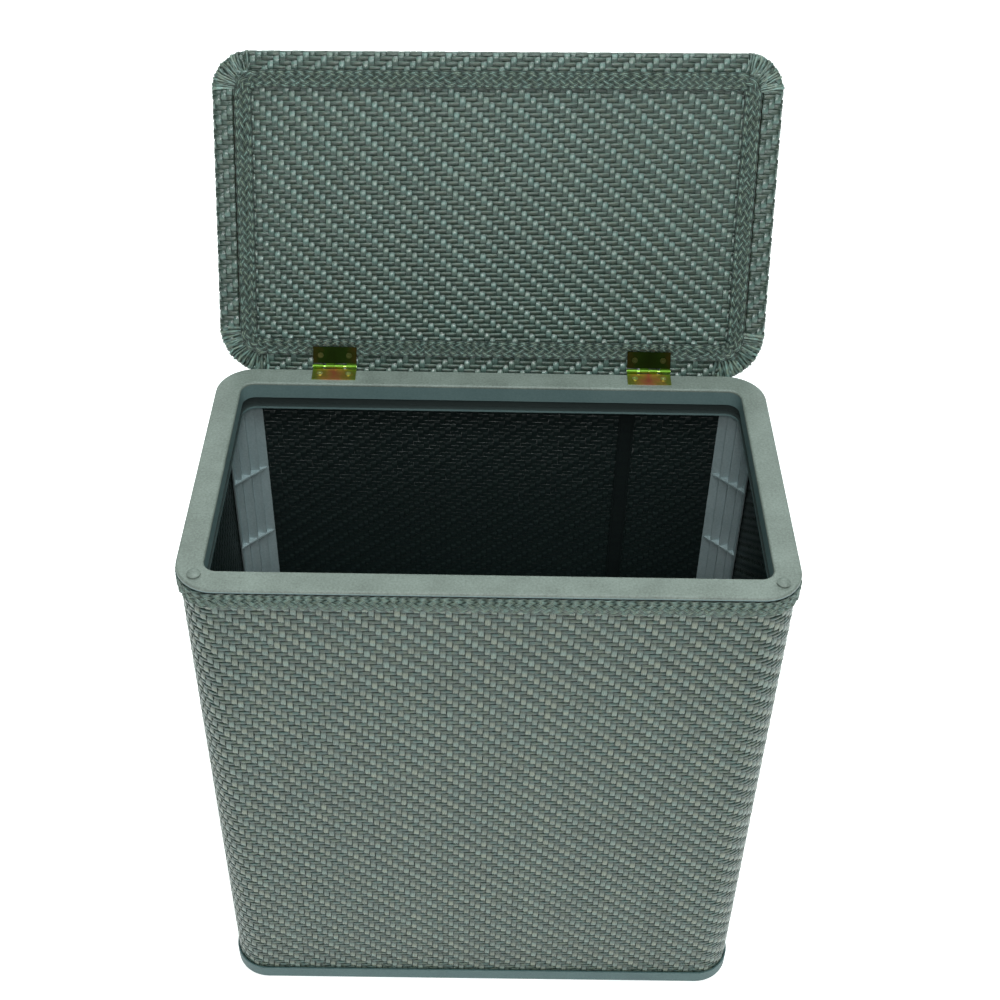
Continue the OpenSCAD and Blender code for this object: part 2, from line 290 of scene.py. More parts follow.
def weave_wall(surface, columns, rows, column_w, row_h, base_v, all_columns, materials, side):
    """One side of the wall: its upright stakes and the weavers that cross them."""
    cells_down = np.arange(rows)[::-1]
    v = base_v + np.arange(2 * rows + 1) * row_h / 2
    stakes = Tubes(4)
    on_top = stake_on_top(columns[:, None], cells_down[None, :])
    shade = float_shades((columns + 1 + rows % 4) % 4, on_top.shape)
    lay(stakes, surface, True, (columns + 0.5) * column_w, v, swing(on_top, STAKE), STAKE, 1,
        rng.random(len(columns)) * 50, shade)
    stakes.build("wall_stakes_" + side, "hamper", "woven_fibre", materials[::2],
                 ("woven_wall",) if side == "front" else (), True)
    weavers = Tubes(4)
    over = ~stake_on_top(all_columns[None, :], cells_down[:, None])
    height = swing(over, WEAVER, True)
    first, last = columns[0], columns[-1] + 1
    height = height[:, 2 * first:2 * last + 1]
    shade = float_shades(cells_down % 4, (rows, len(columns)))
    u = np.arange(2 * first, 2 * last + 1) * column_w / 2
    lay(weavers, surface, False, base_v + (np.arange(rows) + 0.5) * row_h, u, height, WEAVER, 1,
        rng.random(rows) * 50, shade)
    weavers.build("wall_weavers_" + side, "hamper", "woven_fibre", materials[1:], (), True)


def round_rectangle(s, width, depth, radius):
    """Centre line of a rounded rectangle at distance s, anticlockwise from above, from the start
    of its front side: x, y and the outward direction."""
    a, b, quarter = width / 2 - radius, depth / 2 - radius, math.pi * radius / 2
    sides = np.array([2 * a, 2 * b, 2 * a, 2 * b])
    ends = np.cumsum(sides + quarter)
    s = np.mod(s, ends[-1])
    k = np.searchsorted(ends, s, "right") % 4
    past = s - (ends[k] - quarter)
    turn = k * math.pi / 2
    angle = turn - math.pi / 2 + np.clip(past, 0, quarter) / radius
    nx, ny = np.cos(angle), np.sin(angle)
    straight = np.minimum(past, 0)
    cx = np.array([a, a, -a, -a])[k]
    cy = np.array([-b, b, b, -b])[k]
    x = cx + radius * nx + np.cos(turn) * straight
    y = cy + radius * ny + np.sin(turn) * straight
    return x, y, nx, ny


def outline_length(width, depth, radius):
    """Length round a rounded rectangle."""
    return 2 * (width + depth) - (8 - 2 * math.pi) * radius


def make_wall(materials):
    """The wall's four woven sides, and the ply between their strands."""
    width, depth = (wall_high - wall_low)[:2] - 2 * WALL_DEPTH
    radius = WALL_CORNER - WALL_DEPTH
    length = outline_length(width, depth, radius)
    half_corner = math.pi * radius / 4

    def surface(s, z, h):
        x, y, nx, ny = round_rectangle(s - half_corner, width, depth, radius)
        return np.stack([x + nx * h, y + ny * h, z], -1)

    make_core(surface, length, materials[2])
    all_columns = np.arange(WALL_COLUMNS)
    long_side = round((width - 2 * radius + 2 * half_corner) / length * WALL_COLUMNS)
    short_side = WALL_COLUMNS // 2 - long_side
    base = wall_low[2] + 1.5
    rows = int((wall_high[2] - base) / ROW)
    start = 0
    for side, count in (("front", long_side), ("right", short_side),
                        ("back", long_side), ("left", short_side)):
        weave_wall(surface, all_columns[start:start + count], rows, length / WALL_COLUMNS, ROW,
                   base, all_columns, materials, side)
        start += count


def make_core(surface, length, material):
    """Thin dark ply between the strands that show outside and those that show inside."""
    s = np.linspace(0, length, WALL_COLUMNS, endpoint=False)
    z = np.array([wall_low[2] + 0.5, wall_high[2], wall_high[2], wall_low[2] + 0.5])
    h = np.array([0.2, 0.2, 0.0, 0.0])
    core = Tubes(4)
    rings = surface(s[:, None] + 0 * z, z[None, :] + 0 * s[:, None], h[None, :] + 0 * s[:, None])
    core.add(rings[None], z, s[None, :, None], 7.0, 0.1, (s[None, :, None], z), True)
    core.build("wall_core", "hamper", "woven_fibre", [material])


# ---- the lid's cloth ----

def wrap_lid(u, v, h):
    """Where a point of the flat cover cloth lies when it is wrapped round the shut lid's edge."""
    inset = LID_DEPTH
    mid_y = (lid_low[1] + lid_high[1]) / 2
    half = (lid_high - lid_low)[:2] / 2 - LID_ROUND_TOP
    r_core = np.where(v > mid_y, LID_REAR_CORNER, LID_CORNER) - LID_ROUND_TOP
    r_top, r_under = LID_ROUND_TOP - inset, LID_ROUND_UNDER - inset
    straight = lid_high[2] - lid_low[2] - LID_ROUND_TOP - LID_ROUND_UNDER
    px, py = u, v - mid_y
    dx = np.maximum(np.abs(px) - (half[0] - r_core), 0)
    dy = np.maximum(np.abs(py) - (half[1] - r_core), 0)
    far = np.hypot(dx, dy)
    out = far - r_core
    nx = np.sign(px) * dx / np.maximum(far, 1e-9)
    ny = np.sign(py) * dy / np.maximum(far, 1e-9)
    past = np.maximum(out, 0)
    first, third = r_top * math.pi / 2, r_under * math.pi / 2
    top_turn = np.clip(past / r_top, 0, math.pi / 2)
    drop = np.clip(past - first, 0, straight)
    low_turn = np.clip((past - first - straight) / r_under, 0, math.pi / 2)
    inward = np.maximum(past - first - straight - third, 0)
    e = r_top * np.sin(top_turn) - r_under * (1 - np.cos(low_turn)) - inward
    z = lid_high[2] - LID_ROUND_TOP + r_top * np.cos(top_turn) - drop - r_under * np.sin(low_turn)
    tilt = top_turn + low_turn
    corner = np.arctan2(np.minimum(dx, dy), np.maximum(dx, dy) + 1e-9)
    lift = h - FOLD_ROOM * np.clip(past / FOLD_RUN, 0, 1) * np.clip(corner * 3, 0, 1)
    shift = e - past + np.sin(tilt) * lift
    x = px + nx * np.where(out > 0, shift, 0)
    y = py + ny * np.where(out > 0, shift, 0)
    return skew(np.stack([x, y + mid_y, z + np.cos(tilt) * lift], -1))


def skew(points):
    """The hand-made lid's covering reaches a little further on the right, and flares to the front."""
    out = (axis_y - points[..., 1]) / (axis_y - lid_low[1])
    across = points[..., 0] / lid_high[0]
    moved = points.copy()
    moved[..., 0] += out * (LID_SHIFT + LID_FLARE * across)
    moved[..., 1] -= out * LID_SKEW * points[..., 0]
    return moved


def cloth_reach():
    """Length of cloth from where the lid's edge starts to curve to the cover's turned-under end."""
    r_top, r_under = LID_ROUND_TOP - LID_DEPTH, LID_ROUND_UNDER - LID_DEPTH
    straight = lid_high[2] - lid_low[2] - LID_ROUND_TOP - LID_ROUND_UNDER
    under = LID_TURN_UNDER - LID_ROUND_UNDER
    return (r_top + r_under) * math.pi / 2 + straight + under


def cloth_span(offset, half_own, half_other, radius):
    """How far from the middle a strand at this offset reaches on the round-cornered cloth."""
    past = abs(offset) - (half_own - radius)
    if past <= 0:
        return half_other
    if past >= radius:
        return 0.0
    return half_other - radius + math.sqrt(radius ** 2 - past ** 2)


def make_cover(materials):
    """Woven cloth over the lid's top and edges, turned under to the plait."""
    reach = cloth_reach()
    mid_y = (lid_low[1] + lid_high[1]) / 2
    half = (lid_high - lid_low)[:2] / 2 - LID_ROUND_TOP + reach
    radius = LID_CORNER - LID_ROUND_TOP + reach
    columns, rows = int(half[0] / COLUMN), int(half[1] / ROW)

    def surface(u, v, h):
        return turn_lid(wrap_lid(u, v, h), lean)

    for upright, name in ((True, "lid_cover_stakes"), (False, "lid_cover_weavers")):
        tubes = Tubes(4)
        own, other = (COLUMN, ROW) if upright else (ROW, COLUMN)
        half_own, half_other = (half[0], half[1]) if upright else (half[1], half[0])
        lines = columns if upright else rows
        for line in range(-lines, lines):
            offset = (line + 0.5) * own
            cells = int(cloth_span(offset, half_own, half_other, radius) / other)
            if cells < 3:
                continue
            along = np.arange(-cells, cells)
            column, row = (line, along) if upright else (along, line)
            top = stake_on_top(column, row)[None, :]
            strand = LID_STAKE if upright else LID_WEAVER
            height = swing(top if upright else ~top, strand)
            samples = np.arange(-2 * cells, 2 * cells + 1) * other / 2
            centre = np.array([offset])
            shade = float_shades(np.array([(line + cells) % 4]), top.shape)
            if upright:
                samples = samples + mid_y
            else:
                centre = centre + mid_y
            lay(tubes, surface, upright, centre, samples, height, strand, 1,
                rng.random(1) * 50, shade)
        stands = ("lid_cover",) if upright else ()
        kinds = materials[::2] if upright else materials[1:]
        tubes.build(name, "lid", "woven_fibre", kinds, stands, True)


def make_board(material):
    """The stiff board inside the lid, which leans like the cover that is wrapped round it."""
    mid_y = (lid_low[1] + lid_high[1]) / 2
    half = (lid_high - lid_low)[:2] / 2 - LID_ROUND_TOP
    under = LID_TURN_UNDER - LID_ROUND_UNDER
    past = np.append(np.linspace(cloth_reach() - under + 4, 0, 16), -4.0)
    quarter = np.linspace(0, math.pi / 2, 12)
    u, v = [], []
    for side_x, side_y in ((1, 1), (-1, 1), (-1, -1), (1, -1)):
        core = (LID_REAR_CORNER if side_y > 0 else LID_CORNER) - LID_ROUND_TOP
        angle = quarter if side_x == side_y else quarter[::-1]
        far = core + past[:, None]
        u.append(side_x * (half[0] - core + far * np.cos(angle)))
        v.append(mid_y + side_y * (half[1] - core + far * np.sin(angle)))
    u, v = np.concatenate(u, 1), np.concatenate(v, 1)
    rings = turn_lid(wrap_lid(u, v, -1.0), lean)
    board = Tubes(u.shape[1])
    around = np.arange(u.shape[1])
    board.add(rings[None], u, past[None, :, None], 5.0, 0.5, (around, past[None, :, None]))
    board.build("board_slab", "lid", "board", [material], ("lid_board",))


def make_corner_folds(materials):
    """Cloth gathered into narrow folds where the cover turns round the lid's four corners."""
    mid_y = (lid_low[1] + lid_high[1]) / 2
    half = (lid_high - lid_low)[:2] / 2 - LID_ROUND_TOP
    past = np.linspace(2, cloth_reach() + 3, 20)
    out_of_cloth = np.clip(past / 12, 0, 1)
    ridge = np.array([0.0, 1.0, 1.0, 0.0])
    tubes = Tubes(4)
    for side_x, side_y in ((-1, -1), (1, -1), (1, 1), (-1, 1)):
        core = (LID_REAR_CORNER if side_y > 0 else LID_CORNER) - LID_ROUND_TOP
        count = round(0.5 * (core + LID_ROUND_TOP))
        spread = math.pi / 2 / count
        for fold in range(count):
            drift = np.interp(past, past[::5], rng.normal(scale=0.35, size=4))
            middle = (fold + 0.5 + drift) * spread
            half_w = spread * rng.uniform(0.5, 0.75)
            angle = middle[:, None] + half_w * np.array([-1, -0.35, 0.35, 1])[None, :]
            high = rng.uniform(0.5, 1.4) + np.interp(past, past[::3], rng.normal(scale=0.4, size=7))
            h = -0.9 + out_of_cloth[:, None] * (1.5 + ridge[None, :] * high[:, None])
            far = core + past[:, None]
            u = side_x * (half[0] - core + far * np.cos(angle))
            v = mid_y + side_y * (half[1] - core + far * np.sin(angle))
            if side_x * side_y > 0:
                u, v, h = u[:, ::-1], v[:, ::-1], h[:, ::-1]
            rings = turn_lid(wrap_lid(u, v, h), lean)
            across = np.array([-1, -0.35, 0.35, 1]) * 1.1
            tone = 0.7 * rng.random() + 0.45 * rng.random(len(past))
            tubes.add(rings[None], across, past[None, :, None], rng.random() * 50,
                      tone[None, :, None], (past[None, :, None], across + 3.0 * fold
                                            + 200 * side_x + 90 * side_y))
    tubes.build("lid_corner_folds", "lid", "woven_fibre", materials)


def make_lining(materials):
    """Flat woven panel under the lid, inside the plait."""
    width, depth = (lining_high - lining_low)[:2] + 8
    mid_y = (lining_low[1] + lining_high[1]) / 2
    columns, rows = int(width / COLUMN), int(depth / ROW)
    u0, v0 = -columns * COLUMN / 2, mid_y - rows * ROW / 2

    def surface(u, v, h):
        z = np.full(np.broadcast(u, v).shape, lid_under + LID_DEPTH) - h
        return turn_lid(skew(np.stack(np.broadcast_arrays(u, v, z), -1)), lean)

    top = stake_on_top(np.arange(columns)[:, None], np.arange(rows)[None, :])
    stakes, weavers = Tubes(4), Tubes(4)
    lay(stakes, surface, True, u0 + (np.arange(columns) + 0.5) * COLUMN,
        v0 + np.arange(2 * rows + 1) * ROW / 2, swing(top, LID_STAKE), LID_STAKE, -1,
        rng.random(columns) * 50, float_shades((-np.arange(columns)) % 4, top.shape))
    lay(weavers, surface, False, v0 + (np.arange(rows) + 0.5) * ROW,
        u0 + np.arange(2 * columns + 1) * COLUMN / 2, swing(~top.T, LID_WEAVER), LID_WEAVER, -1,
        rng.random(rows) * 50, float_shades((-np.arange(rows)) % 4, top.T.shape))
    stakes.build("lid_lining_stakes", "lid", "woven_fibre", materials[::2], ("lid_lining",), True)
    weavers.build("lid_lining_weavers", "lid", "woven_fibre", materials[1:], (), True)


# ---- plaits ----

def plait(tubes, path, length, level, ridge, depth, finish=None):
    """Lay a flat plait of seven strands, each of three fibres, along a closed path. level is how
    light it is, ridge how much lighter a strand's middle fibre is than its outer two, a painted
    highlight along the strand's crown with painted shade on its sides, and depth how much darker
    a strand gets where it goes under another, a painted shade."""
    strands, fibres = 7, 3
    fibre_w, fibre_h = BRAID_W / 12.5, 0.5
    repeats = round(length / PLAIT_STEP)
    step = length / repeats
    count = repeats * PLAIT_RINGS
    s = np.arange(count) * length / count
    reach = BRAID_W / 2 - fibres * fibre_w / 2
    across = np.array([-0.5, -0.2, 0.2, 0.5]) * fibre_w
    rise = np.array([-1, 1, 1, -1]) * fibre_h
    sway = np.interp(s, np.linspace(0, length, 60), wave_round(60) * 0.2)
    for strand in range(strands):
        phase = 2 * math.pi * (s / step + strand / strands) + sway
        lateral = reach * np.sin(phase)
        slope = reach * np.cos(phase) * 2 * math.pi / step
        lean_s, lean_l = -slope / np.hypot(1, slope), 1 / np.hypot(1, slope)
        height = PLAIT_SWING * np.sin((strands - 1) * phase)
        for fibre in range(fibres):
            offset = (fibre - (fibres - 1) / 2) * fibre_w
            offset = offset + np.interp(s, np.linspace(0, length, 90), wave_round(90) * 0.07)
            side = offset[:, None] + across[None, :]
            u = s[:, None] + side * lean_s[:, None]
            v = lateral[:, None] + side * lean_l[:, None]
            lift = height + rng.normal(scale=0.03, size=count)
            rings = path(u, v, lift[:, None] + rise[None, :])
            if finish:
                rings = finish(rings)
            band = strand * fibres + fibre + np.array([0.05, 0.35, 0.65, 0.9])
            tone = 0.4 * rng.random() + 0.2 * rng.random(count // 6 + 1).repeat(6)[:count]
            # Painted shade where a strand goes under another, and a painted highlight on each
            # strand's middle fibre with painted shade on its outer two.
            tone = (0.3 + tone) * (0.62 + depth * height) * (1 + ridge * (2 - 3 * abs(fibre - 1)))
            tubes.add(rings[None], across, s[None, :, None], rng.random() * 50,
                      level * tone[None, :, None], (s[None, :, None] / length, band), True)


def wave_round(count):
    """Random values whose last equals the first, for a closed path."""
    values = rng.normal(size=count)
    values[-1] = values[0]
    return values


def make_rim_braid(materials):
    """Plait round the top of the wall, under the rim."""
    low, high = box_mm("rim_braid")
    width, depth = (high - low)[:2] - 2.3
    radius = WALL_CORNER + 1.15
    mid_z = (low[2] + high[2]) / 2

    def path(u, v, h):
        x, y, nx, ny = round_rectangle(u, width, depth, radius)
        return np.stack([x + nx * h, y + ny * h, mid_z - 0.9 - v], -1)

    tubes = Tubes(4)
    plait(tubes, path, outline_length(width, depth, radius), 0.95, ridge=0.05, depth=0.5)
    tubes.build("rim_plait", "hamper", "braid", materials, ("rim_braid",))


def press_under_leaves(points):
    """Press the plait flat where a hinge leaf is screwed down on it."""
    limit = np.full(points.shape[:-1], 9.0)
    for low, high in leaf_boxes:
        dx = np.maximum(np.maximum(low[0] - points[..., 0], points[..., 0] - high[0]), 0)
        dy = np.maximum(np.maximum(low[1] - points[..., 1], points[..., 1] - high[1]), 0)
        limit = np.minimum(limit, 0.9 * np.hypot(dx, dy) - PRESSED)
    pressed = points.copy()
    pressed[..., 2] = np.maximum(points[..., 2], lid_under - limit)
    return pressed


def make_lid_braid(materials):
    """Plait over the joint between the lid's cover and its lining."""
    width, depth = (braid_high - braid_low)[:2] - BRAID_W
    mid_y = (braid_low[1] + braid_high[1]) / 2
    radius = 13.0

    def path(u, v, h):
        x, y, nx, ny = round_rectangle(u, width, depth, radius)
        return np.stack([x + nx * v, y + mid_y + ny * v, lid_under - 1.1 - h], -1)

    def finish(points):
        return turn_lid(press_under_leaves(skew(points)), lean)

    tubes = Tubes(4)
    length = outline_length(width, depth, radius)
    plait(tubes, path, length, 0.8, ridge=0.5, depth=0.7, finish=finish)
    tubes.build("lid_plait", "lid", "braid", materials, ("lid_braid",))


def make_seam_strip(materials):
    """Strip of dark tape down the inside of the back, with a rolled edge on either side. Each of
    the three has its place across the strip, half its width and half its thickness."""
    low, high = box_mm("wall_seam_strip")
    mid_x, count = (low[0] + high[0]) / 2, 160
    z = np.linspace(low[2], high[2], count)
    tubes = Tubes(6)
    flat, left_roll, right_roll = (0, 6.6, 0.35), (-6.2, 1.0, 0.7), (6.2, 1.0, 0.7)
    for offset, half_w, thick in (flat, left_roll, right_roll):
        across = np.array([-1, -0.8, 0.8, 1, 0.8, -0.8]) * half_w
        rise = np.array([0, 1, 1, 0, -1, -1]) * thick
        sway = np.interp(z, np.linspace(low[2], high[2], 24), rng.normal(scale=0.25, size=24))
        x = mid_x + offset + sway[:, None] + across[None, :]
        y = high[1] - 0.75 - rise[None, :] + 0 * x
        rings = np.stack([x, y, z[:, None] + 0 * x], -1)
        tubes.add(rings[None], across, z[None, :, None], 3.0 + offset, 0.5,
                  (offset + across, z[None, :, None]))
    tubes.build("seam_tape", "hamper", "seam_tape", materials, ("wall_seam_strip",))


# ---- materials ----

class Nodes:
    """Short way to make the nodes of one material."""

    def __init__(self, name):
        self.material = bpy.data.materials.new(name)
        self.material.use_nodes = True
        self.tree = self.material.node_tree
        self.shader = self.tree.nodes["Principled BSDF"]

    def node(self, kind, **settings):
        made = self.tree.nodes.new(kind)
        for key, value in settings.items():
            if hasattr(made, key):
                setattr(made, key, value)
            else:
                self.put(made.inputs[key.replace("_", " ")], value)
        return made

    def put(self, socket, value):
        if isinstance(value, bpy.types.NodeSocket):
            self.tree.links.new(value, socket)
        else:
            socket.default_value = value

    def math(self, operation, a, b=0.0, clamp=False):
        made = self.node("ShaderNodeMath", operation=operation, use_clamp=clamp)
        self.put(made.inputs[0], a)
        self.put(made.inputs[1], b)
        return made.outputs[0]

    def mix(self, share, a, b, blend="MIX"):
        made = self.node("ShaderNodeMix", data_type="RGBA", blend_type=blend)
        self.put(made.inputs[0], share)
        self.put(made.inputs[6], a)
        self.put(made.inputs[7], b)
        return made.outputs[2]

    def ramp(self, value, stops):
        made = self.node("ShaderNodeValToRGB")
        elements = made.color_ramp.elements
        while len(elements) < len(stops):
            elements.new(0.5)
        for element, (place, colour) in zip(elements, stops):
            element.position = place
            element.color = colour
        self.put(made.inputs[0], value)
        return made.outputs[0]

    def noise(self, vector, scale, detail=2.0, roughness=0.5):
        made = self.node("ShaderNodeTexNoise", Scale=scale, Detail=detail, Roughness=roughness)
        if vector is not None:
            self.put(made.inputs["Vector"], vector)
        return made.outputs["Fac"]

    def bump(self, height, strength, distance):
        made = self.node("ShaderNodeBump", Strength=strength, Distance=distance)
        self.put(made.inputs["Height"], height)
        self.put(self.shader.inputs["Normal"], made.outputs[0])


def srgb(red, green, blue):
    """A colour given as it looks on a screen, 0 to 255."""
    def linear(c):
        c /= 255
        return c / 12.92 if c <= 0.04045 else ((c + 0.055) / 1.055) ** 2.4
    return (linear(red), linear(green), linear(blue), 1.0)


def fibre_material(name, dark, light, warm, roughness, specular, width,
                   crevice_shade=(9.0, 0.55), one_sided=False, painted_edge_highlight=0.0):
    """Flat strand of twisted fibre: streaks, a tone for each strand and float, and painted shade
    in the crevices along its sides. crevice_shade is how sharply and how strongly a strand darkens
    towards its sides, or with one_sided towards its lower side alone, where it is a painted shadow.
    painted_edge_highlight is the strength of a painted highlight, a light line along its upper side."""
    n = Nodes(name)
    fibre = n.node("ShaderNodeAttribute", attribute_name="fibre").outputs["Vector"]
    shade = n.node("ShaderNodeAttribute", attribute_name="shade").outputs["Fac"]

    def stretched(across, along):
        made = n.node("ShaderNodeVectorMath", operation="MULTIPLY")
        n.put(made.inputs[0], fibre)
        made.inputs[1].default_value = (across, along, 1.0)
        return made.outputs[0]

    streak = n.noise(stretched(2.4, 0.18), 1.0, 3.0, 0.65)
    tone = n.math("ADD", n.math("MULTIPLY", shade, 0.95), n.math("MULTIPLY", streak, 0.4))
    tone = n.math("SUBTRACT", tone, 0.14, clamp=True)
    hue = n.ramp(n.noise(stretched(0.02, 0.13), 1.3, 1.0), [(0.42, light), (0.58, warm)])
    colour = n.mix(tone, dark, hue)
    split = n.node("ShaderNodeSeparateXYZ")
    n.put(split.inputs[0], fibre)
    # Painted shade: darker towards the strand's sides, where shade falls in the crevices, or towards
    # its lower side alone as a painted shadow.
    beside = split.outputs[0] if one_sided else n.math("ABSOLUTE", split.outputs[0])
    crevice_shade_mask = n.math("MULTIPLY", beside, 2 / width, clamp=True)
    crevice_shade_mask = n.math("MULTIPLY", n.math("POWER", crevice_shade_mask, crevice_shade[0]), crevice_shade[1])
    # Painted highlight: a light line along the strand's upper side.
    if painted_edge_highlight:
        edge_highlight_mask = n.math("MULTIPLY", split.outputs[0], -2 / width, clamp=True)
        edge_highlight_mask = n.math("MULTIPLY", n.math("POWER", edge_highlight_mask, 4.0), painted_edge_highlight)
        colour = n.mix(edge_highlight_mask, colour, [min(3.4 * c, 1.0) for c in light[:3]] + [1.0])
    crevice_shade_colour = [c * 0.12 for c in dark[:3]] + [1.0]
    n.put(n.shader.inputs["Base Color"], n.mix(crevice_shade_mask, colour, crevice_shade_colour))
    rough = n.math("ADD", n.math("MULTIPLY", streak, 0.3), roughness - 0.15)
    n.put(n.shader.inputs["Roughness"], rough)
    n.shader.inputs["Specular IOR Level"].default_value = specular
    n.bump(streak, 0.5, 0.00035)
    return n.material


# Bluish colour of a painted reflection of cool light, on the rim's walls below its face.
PAINTED_COOL_REFLECTION = srgb(104, 134, 140)


def plastic_material(name, base, fleck, roughness, grain=0.25, shaded_recess=None):
    """Moulded plastic with a fine spark-eroded grain and faint mottling. With shaded_recess given,
    below the face it is a little bluer, a painted reflection of cool light, and between the
    recess's two heights it is darker, a painted shade under the inner shelf; shaded_recess is given
    as the recess's lower height, its upper height and the height of the face."""
    n = Nodes(name)
    place = n.node("ShaderNodeTexCoord").outputs["Object"]
    grit = n.noise(place, 520.0, 3.0, 0.7)
    mottle = n.noise(place, 28.0, 4.0, 0.6)
    tone = n.math("ADD", n.math("MULTIPLY", grit, 0.65), n.math("MULTIPLY", mottle, 0.45))
    tone = n.math("SUBTRACT", tone, 0.05, clamp=True)
    colour = n.ramp(tone, [(0.36, base), (0.64, fleck)])
    if shaded_recess:
        split = n.node("ShaderNodeSeparateXYZ")
        n.put(split.inputs[0], place)
        # Painted shade in the recess under the inner shelf, and a painted reflection of cool light on
        # the walls below the face.
        above = n.math("GREATER_THAN", split.outputs[2], shaded_recess[0])
        below = n.math("LESS_THAN", split.outputs[2], shaded_recess[1])
        recess_shade = n.math("MULTIPLY", n.math("MULTIPLY", above, below), 0.8)
        reflection_mask = n.math("MULTIPLY", n.math("LESS_THAN", split.outputs[2], shaded_recess[2]), 0.6)
        colour = n.mix(reflection_mask, colour, PAINTED_COOL_REFLECTION)
        colour = n.mix(recess_shade, colour, [c * 0.12 for c in base[:3]] + [1.0])
    n.put(n.shader.inputs["Base Color"], colour)
    n.put(n.shader.inputs["Roughness"], n.math("ADD", n.math("MULTIPLY", mottle, 0.16), roughness))
    n.shader.inputs["Specular IOR Level"].default_value = 0.4
    n.bump(grit, grain, 0.0002)
    return n.material


BARREL_REACH = 2.6 * MM     # how near the hinge's axis a leaf counts as barrel


def plated_material(name, stops, roughness, barrel=None):
    """Yellow-passivated zinc: thin films of colour that drift over the metal, and rolling marks.
    Where a leaf rolls round the pin it takes the colour given for the barrel."""
    n = Nodes(name)
    spread = n.node("ShaderNodeTexCoord").outputs["Generated"]
    place = n.node("ShaderNodeTexCoord").outputs["Object"]
    split = n.node("ShaderNodeSeparateXYZ")
    n.put(split.inputs[0], spread)
    middle = n.math("ABSOLUTE", n.math("SUBTRACT", split.outputs[0], 0.5))
    drift = n.noise(place, 130.0, 3.0)
    film = n.math("ADD", n.math("MULTIPLY", middle, 1.3), n.math("MULTIPLY", drift, 0.7))
    film = n.math("SUBTRACT", film, 0.2, clamp=True)
    colour = n.ramp(film, stops)
    if barrel:
        from_axis = n.node("ShaderNodeVectorMath", operation="SUBTRACT")
        n.put(from_axis.inputs[0], place)
        from_axis.inputs[1].default_value = hinge["pos_m"]
        flat = n.node("ShaderNodeVectorMath", operation="MULTIPLY")
        n.put(flat.inputs[0], from_axis.outputs[0])
        flat.inputs[1].default_value = (0, 1, 1)
        length = n.node("ShaderNodeVectorMath", operation="LENGTH")
        n.put(length.inputs[0], flat.outputs[0])
        near = n.math("LESS_THAN", length.outputs["Value"], BARREL_REACH)
        colour = n.mix(near, colour, barrel)
    n.put(n.shader.inputs["Base Color"], colour)
    scratch = n.node("ShaderNodeVectorMath", operation="MULTIPLY")
    n.put(scratch.inputs[0], place)
    scratch.inputs[1].default_value = (150.0, 2500.0, 2500.0)
    lines = n.noise(scratch.outputs[0], 1.0, 2.0)
    n.put(n.shader.inputs["Roughness"], n.math("ADD", n.math("MULTIPLY", lines, 0.2), roughness))
    n.shader.inputs["Metallic"].default_value = 1.0
    n.bump(lines, 0.12, 0.0001)
    return n.material


def board_material(name):
    """Pressed fibreboard: dark brown, with short chips."""
    n = Nodes(name)
    place = n.node("ShaderNodeTexCoord").outputs["Object"]
    chips = n.noise(place, 240.0, 5.0, 0.8)
    stops = [(0.3, srgb(30, 30, 26)), (0.7, srgb(58, 54, 44))]
    n.put(n.shader.inputs["Base Color"], n.ramp(chips, stops))
    n.shader.inputs["Roughness"].default_value = 0.85
    n.bump(chips, 0.3, 0.0003)
    return n.material


def paint(material, *nodes):
    """Give CAD nodes their material."""
    for name in nodes:
        mesh = frame["nodes"][name].data
        mesh.materials.clear()
        mesh.materials.append(material)


stake_fibre = fibre_material("fibre_stakes", srgb(48, 61, 57), srgb(112, 130, 122),
                             srgb(126, 132, 116), 0.27, 0.7, 5.25, (12.0, 0.4))
# The weavers' fibre is a darker copy of the stakes' fibre: painted shade for the weavers lying deeper
# among the stakes.
shaded_weaver_fibre = fibre_material("fibre_weavers_shaded", srgb(24, 38, 36), srgb(72, 98, 92),
                              srgb(86, 100, 84), 0.3, 0.65, 3.8, (4.5, 0.98), True)
lid_stake_fibre = fibre_material("fibre_lid_stakes", srgb(48, 61, 56), srgb(102, 125, 119),
                                 srgb(102, 118, 109), 0.25, 0.8, 5.35, (12.0, 0.4))
# The same painted shade on the lid's weavers, a darker copy of the lid's stake fibre.
shaded_lid_weaver_fibre = fibre_material("fibre_lid_weavers_shaded", srgb(37, 50, 45), srgb(60, 76, 68),
                                  srgb(67, 76, 64), 0.32, 0.6, 4.15, (8.0, 0.6), True, 1.0)
inside = fibre_material("fibre_bare", srgb(18, 29, 28), srgb(64, 80, 77), srgb(58, 70, 74),
                        0.42, 0.45, 5.0)
plaited = fibre_material("fibre_plaited", srgb(20, 32, 30), srgb(134, 160, 152),
                         srgb(134, 150, 134), 0.36, 0.6, 1.28, (2.6, 1.0))
folded = fibre_material("fibre_folded", srgb(20, 31, 29), srgb(130, 156, 149),
                        srgb(132, 146, 132), 0.34, 0.6, 2.2, (2.2, 0.95))
tape = fibre_material("seam_tape", srgb(10, 16, 16), srgb(28, 38, 37), srgb(24, 32, 34),
                      0.6, 0.3, 13.0)
lid_woven = [lid_stake_fibre, shaded_lid_weaver_fibre, inside]

make_wall([stake_fibre, shaded_weaver_fibre, inside])
make_cover(lid_woven)
make_board(board_material("fibreboard"))
make_corner_folds([folded])
make_lining(lid_woven)
make_rim_braid([plaited])
make_lid_braid([plaited])
make_seam_strip([tape])

